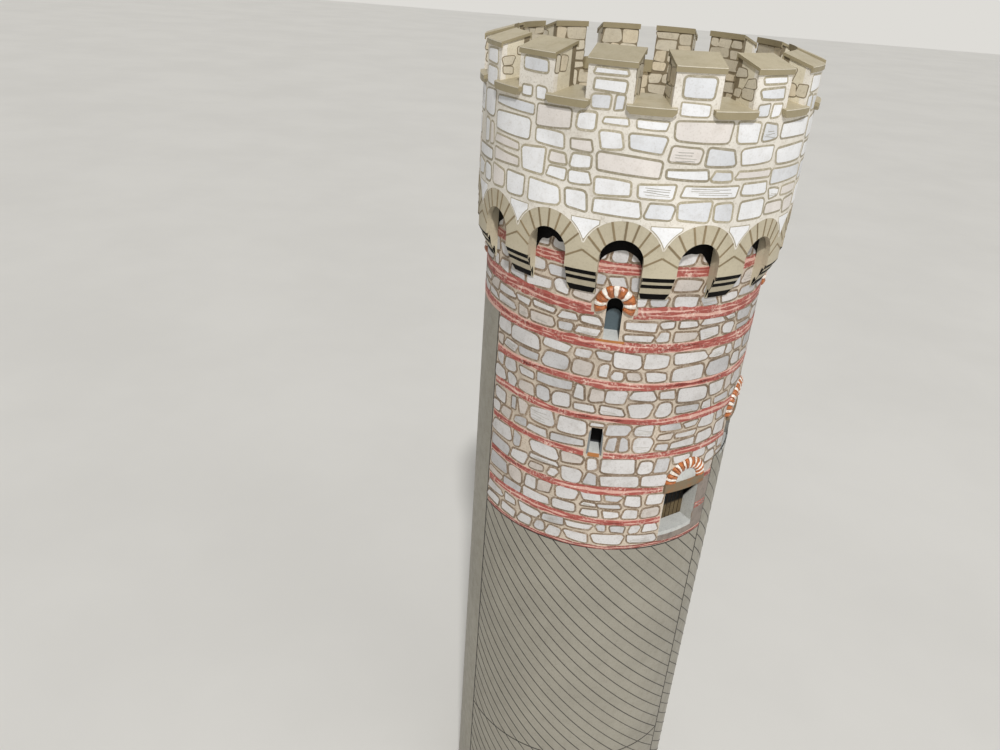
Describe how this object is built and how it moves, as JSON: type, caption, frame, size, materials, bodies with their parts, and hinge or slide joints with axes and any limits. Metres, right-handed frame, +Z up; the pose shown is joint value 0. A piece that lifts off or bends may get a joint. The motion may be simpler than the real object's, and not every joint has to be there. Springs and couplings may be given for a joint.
{
  "type": "round castle keep of a card model",
  "caption": "Tall round card tower with recessed windows and doors, arches on corbels under a wider drum, and a crenellated parapet with sloping caps round a flat deck",
  "frame": {"origin": "middle of the tower's foot, on the surface that it stands on", "axes": "+Z up along the tower, -Y towards the side with the slot window, +X to the right of it"},
  "size_m": [0.0782, 0.0782, 0.2606],
  "materials": {
    "bare_card": "unprinted grey-beige card",
    "stone_print": "card printed with off-white stones",
    "recess_card": "card printed in dark grey",
    "sill_grey": "card printed in light grey",
    "panel_slate": "card printed in slate blue",
    "trim_orange": "glossy card trim in orange and white",
    "lintel_brown": "card printed in brown-grey",
    "door_brown": "card printed as dark brown boards",
    "beige_card": "card printed in warm beige",
    "black_card": "card printed in black",
    "tan_print": "card printed with tan stones",
    "cap_khaki": "card printed in khaki"
  },
  "bodies": {
    "root": {"lower_wall_front": "bare_card", "lower_wall_right": "bare_card", "lower_wall_back": "bare_card", "lower_wall_left": "bare_card", "upper_wall_front": "stone_print", "upper_wall_right": "stone_print", "upper_wall_back": "stone_print", "upper_wall_left": "stone_print", "window_boxes": "recess_card", "window_sills": "sill_grey", "window_panels": "panel_slate", "window_trims": "trim_orange", "slot_box": "recess_card", "slot_sill": "sill_grey", "door_box": "recess_card", "door_leaf": "door_brown", "door_sill": "sill_grey", "door_lintel": "lintel_brown", "door_tympanum": "sill_grey", "door_trim": "trim_orange", "walk_door_box": "recess_card", "walk_door_leaf": "door_brown", "walk_door_sill": "sill_grey", "walk_door_lintel": "lintel_brown", "walk_door_tympanum": "sill_grey", "walk_door_trim": "trim_orange", "arcade_front": "beige_card", "arcade_back": "beige_card", "soffit_ring": "black_card", "corbels": "beige_card", "drum_wall_front": "stone_print", "drum_wall_right": "stone_print", "drum_wall_back": "stone_print", "drum_wall_left": "stone_print", "deck": "tan_print", "inner_wall_front": "tan_print", "inner_wall_right": "tan_print", "inner_wall_back": "tan_print", "inner_wall_left": "tan_print", "merlon_fronts": "stone_print", "merlon_backs": "tan_print", "merlon_cheeks": "tan_print", "merlon_caps": "cap_khaki", "embrasure_sills": "cap_khaki"}
  },
  "joints": []
}
